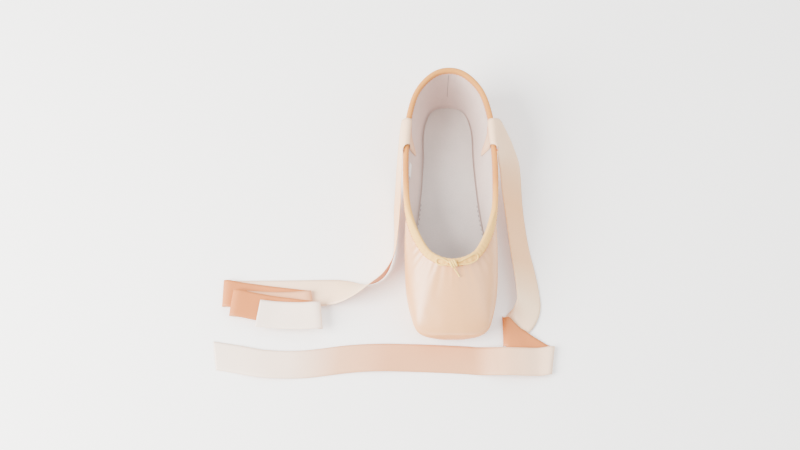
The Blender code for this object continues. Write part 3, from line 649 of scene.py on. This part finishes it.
def makeStitches(name, places, ups, kind, material):
    # short raised stitches along a line of places with their outward directions, all in one mesh
    spacing, stitchLength, thickness = stitchLook[kind]
    places, ups = np.array(places, float), np.array(ups, float)
    run = girthOf(places)
    rings = ((-0.5, 0.35), (-0.35, 0.9), (0.0, 1.0), (0.35, 0.9), (0.5, 0.35))
    points, faces = [], []
    for k in range(int(run[-1] // spacing)):
        at = (k + 0.5) * spacing
        centre = between(at, run, places)
        ahead = unit(between(at + 0.0004, run, places) - between(at - 0.0004, run, places))
        up = unit(between(at, run, ups))
        sideways = unit(np.cross(ahead, up))
        first = len(points)
        for share, size in rings:
            for corner in range(6):
                turn = corner * math.pi / 3
                points.append(centre + ahead * share * stitchLength
                              + (sideways * math.cos(turn) + up * math.sin(turn)) * size * thickness / 2)
        for ring in range(len(rings) - 1):
            for corner in range(6):
                n = (corner + 1) % 6
                low = first + ring * 6
                faces.append((low + corner, low + n, low + 6 + n, low + 6 + corner))
        faces.append(tuple(first + c for c in range(5, -1, -1)))
        faces.append(tuple(first + (len(rings) - 1) * 6 + c for c in range(6)))
    piece = newPiece(name, points, faces, [material])
    selectOnly(piece)
    bpy.ops.object.mode_set(mode="EDIT")
    bpy.ops.mesh.select_all(action="SELECT")
    bpy.ops.mesh.normals_make_consistent(inside=False)
    bpy.ops.object.mode_set(mode="OBJECT")
    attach(piece, "root")
    return piece


# A row of machine stitches along the tape's lower edge, outside and inside; its dark orange thread also draws
# painted shade along the fold at that edge
edgeRow = bandLoops[0] * 0.86 + bandLoops[1] * 0.14 + bandNormals[0] * (farSide + 0.00012)
makeStitches("tapeStitches", closed(edgeRow), closed(bandNormals[0]), "tape", thread)
insideEdge, insideFacing = bandAt(casingLook["insideFrom"] + 0.05)
insideRow = insideEdge - insideFacing * (insideFar + 0.00022)
makeStitches("tapeStitchesInside", closed(insideRow), -closed(insideFacing), "tape", thread)
print("tape stitched")


def softCopy(node, name, material):
    # a CAD node's mesh copied and merged, ready for its edges to be rounded
    source = bpy.data.objects[node]
    mesh = source.data.copy()
    piece = bpy.data.objects.new(name, mesh)
    bpy.context.scene.collection.objects.link(piece)
    mesh.materials.clear()
    mesh.materials.append(material)
    selectOnly(piece)
    bpy.ops.object.mode_set(mode="EDIT")
    bpy.ops.mesh.select_all(action="SELECT")
    bpy.ops.mesh.remove_doubles(threshold=0.00001)
    bpy.ops.mesh.tris_convert_to_quads()
    bpy.ops.object.mode_set(mode="OBJECT")
    return piece


def roundEdges(piece, width, segments, levels):
    bevel = piece.modifiers.new("edges", "BEVEL")
    bevel.width = width
    bevel.segments = segments
    bevel.limit_method = "ANGLE"
    bevel.angle_limit = math.radians(50)
    if levels:
        smooth = piece.modifiers.new("smooth", "SUBSURF")
        smooth.subdivision_type = "SIMPLE"
        smooth.levels = levels
        smooth.render_levels = levels
    applyModifiers(piece)
    piece.data.shade_smooth()


# The sock board inside: cloth over board, a little dished under the heel and the ball, with its side faces
# painted dark as painted shade in the gap along its edge.
# A dish has its depth in metres and, in millimetres, its place along the shoe, half width and half length.
insoleLook = {
    "edge": 0.0005, "dishes": ((0.0006, 118, 12, 16), (0.0004, -12, 17, 26)), "topFacing": 0.5,
    "edgeFacing": 0.75, "stitchInset": 0.0008, "stitchesTo": 0.045,
}
insole = softCopy("insole", "sockBoard", board)
roundEdges(insole, insoleLook["edge"], 3, 2)
for vertex in insole.data.vertices:
    x, y = vertex.co.x * 1000, vertex.co.y * 1000
    if vertex.normal.z > insoleLook["topFacing"]:
        vertex.co.z -= sum(depth * math.exp(-(x / halfWidth)**2 - ((y - placeY) / halfLength)**2)
                           for depth, placeY, halfWidth, halfLength in insoleLook["dishes"])
insole.data.shade_smooth()
# side faces get a dark colour: painted shade in the gap between the board and the lining
insole.data.materials.append(boardEdgeShade)
for polygon in insole.data.polygons:
    if polygon.normal.z < insoleLook["edgeFacing"]:
        polygon.material_index = 1
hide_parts("insole")
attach(insole, "root")
insoleTree = BVHTree.FromPolygons([tuple(v.co) for v in insole.data.vertices],
                                  [tuple(p.vertices) for p in insole.data.polygons])
feet = wholeLoop(halfRibs(96)[:, 0:3])
row = feet + inwards(feet) * (last["edgeRound"] + insoleLook["stitchInset"])
places, ups = [], []
for p in np.roll(row, len(row) // 2, axis=0):
    hit = insoleTree.ray_cast(Vector((p[0], p[1], 0.03)), Vector((0, 0, -1)))[0]
    if hit and p[1] < insoleLook["stitchesTo"]:
        places.append([hit.x, hit.y, hit.z + 0.0001])
        ups.append([0, 0, 1])
makeStitches("boardStitches", places, ups, "board", greyThread)

# The leather sole: suede split, with its edge rounded
outsole = softCopy("outsole", "suedeSole", suede)
roundEdges(outsole, 0.0006, 3, 1)
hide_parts("outsole")
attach(outsole, "root")
print("soles made")

# Ribbons: stations from the end sewn inside the quarter, as in the model: the middle in millimetres, and
# the turn and lean of the width in degrees
ribbonLook = {"width": 0.023, "thickness": 0.0004, "steps": 420, "across": 10, "pointWidth": 0.12,
              "pointLength": 0.033, "slantLimit": 0.7, "cup": 0.00018, "cupWave": 60}
ribbonRight = (
    (28.2, 86.6, 16.0, 93, 6),
    (30.7, 88.6, 24.0, 93, 5),
    (32.9, 90.6, 34.0, 94, 5),
    (32.9, 92.0, 41.0, 94, 6),
    (33.0, 92.4, 46.4, 94, 6),
    (36.3, 92.2, 48.2, 94, 6),
    (39.9, 90.8, 46.4, 90, 5),
    (43.0, 86.6, 43.2, 70, -10),
    (47.6, 78.6, 35.4, 42, -30),
    (51.4, 67.5, 24.0, 8, -40),
    (53.4, 50.0, 13.2, -4, -41),
    (55.8, 28.7, 8.6, -5, -41),
    (58.4, 4.0, 8.0, -5, -38),
    (61.4, -16.0, 7.4, -7, -33),
    (63.6, -33.0, 6.6, -12, -30),
    (63.8, -46.0, 5.6, -28, -25),
    (59.4, -56.0, 3.8, -50, -14),
    (52.0, -62.6, 1.3, -72, -3),
    (45.6, -66.4, 0.9, -90, 0),
    (42.2, -67.6, 2.6, -90, 0),
    (45.8, -69.4, 4.8, -90, 0),
    (53.0, -74.8, 4.3, -80, 0),
    (63.0, -82.4, 2.6, -76, 0),
    (74.0, -89.0, 0.9, -92, 0),
    (79.6, -91.2, 0.9, -99, 0),
    (82.0, -91.8, 2.4, -99, 0),
    (79.4, -92.2, 4.2, -98, 0),
    (70.0, -93.4, 3.6, -93, 0),
    (58.0, -93.8, 5.9, -91, 0),
    (46.0, -93.6, 6.8, -90, 0),
    (36.0, -93.1, 4.9, -89, 0),
    (22.0, -92.1, 1.0, -88, 0),
    (6.0, -90.9, 0.5, -88, 0),
    (-26.0, -89.6, 0.5, -89, 0),
    (-58.0, -89.2, 1.6, -91, 2),
    (-84.0, -90.4, 0.8, -94, 0),
    (-120.0, -94.6, 0.5, -93, 0),
    (-150.0, -94.4, 1.4, -86, 2),
    (-176.0, -90.0, 0.5, -81, 0),
    (-192.0, -87.4, 0.5, -81, 0),
)
ribbonLeft = (
    (-28.2, 86.6, 16.0, 87, 6),
    (-30.7, 88.6, 24.0, 87, 5),
    (-32.9, 90.6, 34.0, 86, 5),
    (-32.9, 92.0, 41.0, 86, 6),
    (-33.0, 92.4, 46.4, 86, 6),
    (-36.3, 92.2, 48.2, 86, 6),
    (-39.4, 90.6, 45.6, 90, 2),
    (-40.6, 86.0, 40.6, 96, -20),
    (-42.0, 76.0, 29.5, 103, -46),
    (-43.4, 58.0, 17.0, 122, -68),
    (-44.2, 36.0, 13.0, 160, -76),
    (-44.8, 14.0, 12.6, 178, -82),
    (-47.4, -7.0, 12.5, 168, -84),
    (-55.4, -22.0, 12.3, 140, -84),
    (-68.0, -30.0, 11.6, 110, -72),
    (-83.0, -33.0, 8.2, 98, -38),
    (-100.0, -34.0, 2.4, 94, -8),
    (-120.0, -34.4, 0.8, 91, 0),
    (-150.0, -34.6, 0.5, 90, 0),
    (-184.0, -34.8, 0.9, 90, 0),
    (-188.2, -35.0, 2.5, 90, 0),
    (-184.0, -35.4, 4.4, 90, 0),
    (-170.0, -37.4, 2.4, 96, 0),
    (-150.0, -40.0, 1.9, 98, 0),
    (-130.0, -42.6, 2.2, 98, 0),
    (-118.0, -44.2, 2.6, 97, 0),
    (-114.0, -44.8, 4.4, 97, 0),
    (-118.0, -45.4, 6.2, 97, 0),
    (-132.0, -45.8, 4.5, 90, 0),
    (-150.0, -45.6, 3.6, 86, 0),
    (-166.0, -45.0, 4.4, 84, 0),
    (-176.0, -44.6, 5.2, 84, 0),
    (-180.2, -44.4, 7.0, 84, 0),
    (-176.0, -44.8, 8.8, 84, 0),
    (-162.0, -47.4, 6.9, 92, 0),
    (-144.0, -50.4, 5.7, 98, 0),
    (-126.0, -53.2, 7.1, 98, 0),
    (-110.0, -55.2, 7.8, 97, 0),
    (-105.8, -55.8, 9.6, 97, 0),
    (-110.0, -56.4, 11.4, 97, 0),
    (-124.0, -56.6, 9.6, 90, 0),
    (-142.0, -55.4, 7.8, 86, 0),
    (-158.0, -53.8, 8.4, 82, 0),
)


def ribbonRows(stations, steps):
    stations = np.array(stations, float)
    run = girthOf(stations[:, :3])
    places = np.interp(np.linspace(0, run[-1], steps + 1), run, np.arange(len(stations)))
    rows = smoothRows(stations, places)
    middle = rows[:, :3] / 1000
    turn, lean = np.radians(rows[:, 3]), np.radians(rows[:, 4])
    across = np.stack([np.cos(lean) * np.cos(turn), np.cos(lean) * np.sin(turn), np.sin(lean)], axis=1)
    ahead = unit(np.gradient(middle, axis=0))
    slant = np.linalg.norm(np.cross(across, ahead), axis=1)[:, None]
    reach = across * ribbonLook["width"] / 2 / np.maximum(slant, ribbonLook["slantLimit"])
    return middle, reach, ahead


def makeRibbon(name, stations, node, turned):
    steps, across = ribbonLook["steps"], ribbonLook["across"]
    middle, reach, ahead = ribbonRows(stations, steps)
    face = unit(np.cross(reach, ahead))
    run = girthOf(middle)
    # the sewn end narrows to a point, standing for the end folded under
    taper = np.clip(run / ribbonLook["pointLength"], 0, 1)[:, None]
    reach = reach * (ribbonLook["pointWidth"] + (1 - ribbonLook["pointWidth"]) * taper)
    points, uv, faces = [], [], []
    for k in range(steps + 1):
        for j in range(across + 1):
            share = 2 * j / across - 1
            # a slight cup across the width, first one way and then the other
            cup = ribbonLook["cup"] * (share * share - 0.4) * math.sin(run[k] * ribbonLook["cupWave"])
            points.append(middle[k] + reach[k] * share + face[k] * cup)
    for k in range(steps):
        for j in range(across):
            a = k * (across + 1) + j
            b = a + across + 1
            square = [(a, j, k), (a + 1, j + 1, k), (b + 1, j + 1, k + 1), (b, j, k + 1)]
            if turned:
                square = square[::-1]
            faces.append(tuple(s[0] for s in square))
            uv.extend((s[1] / across * ribbonLook["width"], run[s[2]]) for s in square)
    piece = newPiece(name, points, faces, [satinFront, satinBack], None, uv)
    wall = piece.modifiers.new("cloth", "SOLIDIFY")
    wall.thickness = ribbonLook["thickness"]
    wall.offset = 0
    wall.material_offset = 1
    applyModifiers(piece)
    piece.data.shade_smooth()
    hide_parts(node)
    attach(piece, "root")
    return middle, reach, face


rightRows = makeRibbon("ribbonRight", ribbonRight, "ribbon_right", True)
leftRows = makeRibbon("ribbonLeft", ribbonLeft, "ribbon_left", False)
print("ribbons made")

# The ribbons' ends are sewn down inside the quarters with a box of stitches, whose dark orange thread also
# draws painted shade along their edges. The box's corners are given by the row along the ribbon and the share
# across it.
corners = ((4, -0.8), (20, -0.8), (20, 0.8), (4, 0.8), (4, -0.8))
for side, rows in (("Right", rightRows), ("Left", leftRows)):
    middle, reach, face = rows
    out = face if face[8][0] * middle[8][0] < 0 else -face
    places, ups = [], []
    for (rowA, shareA), (rowB, shareB) in zip(corners, corners[1:]):
        for t in np.linspace(0, 1, 8)[:-1]:
            at = int(round(rowA + (rowB - rowA) * t))
            places.append(middle[at] + reach[at] * (shareA + (shareB - shareA) * t) + out[at] * 0.0003)
            ups.append(out[at])
    places.append(places[0])
    ups.append(ups[0])
    makeStitches("ribbonStitches" + side, places, ups, "ribbon", thread)

# The drawstring's bow: one cord round the right loop, and one round the left loop and out to the tail
cordLook = {"thickness": 0.0012, "steps": 90}
throatOut = bandNormals[0] + bandNormals[-1]
columnsPer = upperLook["columns"] / 96


def throatPlaces(route):
    # a route by its column round the rim, its share of the way up the tape and its millimetres off it
    columns = np.arange(-80, 81)
    made = []
    for column, rise, height in route:
        at = column * columnsPer
        low = between(at, columns, bandLoops[0][columns])
        rim = between(at, columns, bandLoops[-1][columns])
        out = unit(between(at, columns, throatOut[columns]))
        made.append(low + (rim - low) * rise + out * height / 1000)
    return np.array(made)


loopRight = ((1.95, 0.40, 2.2), (3.6, 0.18, 2.1), (6.0, 0.03, 2.1), (8.0, 0.00, 2.1), (9.4, 0.00, 2.1),
             (10.45, 0.15, 2.1), (10.9, 0.50, 2.1), (10.45, 0.85, 2.1), (9.4, 1.00, 2.1), (8.0, 1.00, 2.1),
             (6.0, 0.96, 2.1), (3.6, 0.80, 2.1), (1.95, 0.66, 2.2))
loopLeft = ((-1.95, 0.38, 2.2), (-3.1, 0.12, 2.1), (-4.4, 0.00, 2.1), (-5.6, 0.00, 2.1), (-6.65, 0.15, 2.1),
            (-7.1, 0.50, 2.1), (-6.65, 0.85, 2.1), (-5.6, 1.00, 2.1), (-4.4, 1.00, 2.1), (-3.1, 0.86, 2.1),
            (-1.95, 0.68, 2.2), (-0.7, 0.60, 2.6),
            (0.1, 0.32, 2.8), (0.2, -0.02, 2.6), (0.4, -0.30, 2.3), (0.9, -0.75, 1.3), (1.5, -1.20, 1.1),
            (1.9, -1.60, 1.0))


def roundCord(name, places, thickness):
    curve = bpy.data.curves.new(name, "CURVE")
    curve.dimensions = "3D"
    curve.bevel_depth = thickness / 2
    curve.bevel_resolution = 3
    curve.use_fill_caps = True
    spline = curve.splines.new("POLY")
    spline.points.add(len(places) - 1)
    for point, place in zip(spline.points, places):
        point.co = (*place, 1)
    curve.materials.append(cordCotton)
    piece = bpy.data.objects.new(name, curve)
    bpy.context.scene.collection.objects.link(piece)
    return piece


def makeCord(name, route, nodes):
    places = throatPlaces(route)
    fine = smoothRows(places, np.linspace(0, len(places) - 1, cordLook["steps"] + 1))
    piece = roundCord(name, fine, cordLook["thickness"])
    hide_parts(*nodes)
    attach(piece, "root")


makeCord("drawstringLoopRight", loopRight, ["drawstring_loop_right"])
makeCord("drawstringLoopLeft", loopLeft, ["drawstring_loop_left", "drawstring_tail"])

# The knot: two and a half turns of cord, drawn thicker than the bow's, wrapped into a small bead
knotLook = {"rise": 0.0019, "turns": 2.5, "width": 0.0044, "long": 0.0023, "deep": 0.0011, "cord": 0.0018,
            "slant": 0.35}
knotBase, knotTop = throatPlaces(((0, 0.5, 1.5), (0, 0.5, 2.5)))
knotOut = unit(knotTop - knotBase)
knotCentre = knotBase + knotOut * knotLook["rise"]
knotSide = unit(np.array([1.0, knotLook["slant"], 0.0]))
knotAlong = np.cross(knotOut, knotSide)
turns = np.linspace(0, 1, 61)
angle = turns * 2 * math.pi * knotLook["turns"]
spread = (turns - 0.5) * knotLook["width"]
wrap = (knotCentre[None] + knotSide[None] * spread[:, None]
        + knotAlong[None] * (np.cos(angle) * knotLook["long"])[:, None]
        + knotOut[None] * (np.sin(angle) * knotLook["deep"])[:, None])
knot = roundCord("drawstringKnot", wrap, knotLook["cord"])
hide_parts("drawstring_knot")
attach(knot, "root")

# The label is plain woven tape with softened edges
label = softCopy("size_label", "labelTape", labelTape)
roundEdges(label, 0.00012, 2, 0)
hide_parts("size_label")
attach(label, "root")


# Seams: a raised line of thread in the fold between two panels, laid on the surface by rays
def surfaceLine(tree, starts, direction):
    places, ups = [], []
    for start in starts:
        hit, normal = tree.ray_cast(Vector(start), Vector(direction))[:2]
        if hit:
            places.append(np.array(hit))
            up = np.array(normal)
            ups.append(up if np.dot(up, direction) < 0 else -up)
    return np.array(places), np.array(ups)


seamLook = {
    "sideTop": (0.052, 0.0375), "sideFoot": (0.020, 0.005), "sideSweep": 1.6, "back": (0.0475, 0.0065),
    "lining": (0.0465, 0.012), "raise": 0.00005,
}
(topY, topZ), (footY, footZ) = seamLook["sideTop"], seamLook["sideFoot"]
seams = []
for side, direction in (("Right", (-1, 0, 0)), ("Left", (1, 0, 0))):
    starts = []
    for t in np.linspace(0, 1, 40):
        y = topY + (footY - topY) * t**seamLook["sideSweep"]
        starts.append((-0.09 * direction[0], y, topZ + (footZ - topZ) * t))
    seams.append(("sideSeam" + side, starts, direction, "seam", satinBack))
seams.append(("backSeam", [(0.0, 0.2, z) for z in np.linspace(*seamLook["back"], 40)], (0, -1, 0), "seam",
              satinBack))
seams.append(("liningSeam", [(0.0, 0.10, z) for z in np.linspace(*seamLook["lining"], 36)], (0, 1, 0),
              "lining", greyThread))
for name, starts, direction, kind, material in seams:
    places, ups = surfaceLine(upperTree, starts, direction)
    makeStitches(name, places + ups * seamLook["raise"], ups, kind, material)
print("trim made")

# Floor and light: a pale floor with a slight glow of its own, and soft lamps, the strongest on the left
floorMaterial, floorTree, floorShader = startMaterial("paleFloor")
floorPlace = addNode(floorTree, "ShaderNodeTexCoord", {}).outputs["Object"]
setInputs(floorTree, floorShader, {
    "Base Color": addMix(floorTree, addNoise(floorTree, floorPlace, 6.0, 2.0), "#FBFBFA", "#F8F8F7"),
    "Roughness": 0.9, "Emission Color": linearFromHex("#FFFFFF"), "Emission Strength": 0.3,
})
bpy.ops.object.select_all(action="DESELECT")
bpy.ops.mesh.primitive_plane_add(size=12, location=(0, 0, -0.0004))
floor = bpy.context.object
floor.name = "floor"
floor.data.materials.append(floorMaterial)

lamps = (
    ("keyLamp", (-0.99, -0.30, 0.73), 0.9, 68.0, "#FFFCF7"),
    ("fillLamp", (0.95, -0.10, 1.0), 1.2, 14.0, "#FFFFFF"),
    ("backLamp", (-0.1, 1.1, 1.1), 1.2, 14.0, "#FFFFFF"),
)
for name, place, size, power, colour in lamps:
    lampData = bpy.data.lights.new(name, "AREA")
    lampData.size = size
    lampData.energy = power
    lampData.color = linearFromHex(colour)[:3]
    lamp = bpy.data.objects.new(name, lampData)
    bpy.context.scene.collection.objects.link(lamp)
    lamp.location = place
    lamp.rotation_euler = (Vector(place) - Vector((0, 0.03, 0))).to_track_quat("Z", "Y").to_euler()
world = bpy.data.worlds.new("studio")
bpy.context.scene.world = world
world.use_nodes = True
world.node_tree.nodes["Background"].inputs["Color"].default_value = linearFromHex("#FBFBFB")
world.node_tree.nodes["Background"].inputs["Strength"].default_value = 1.15
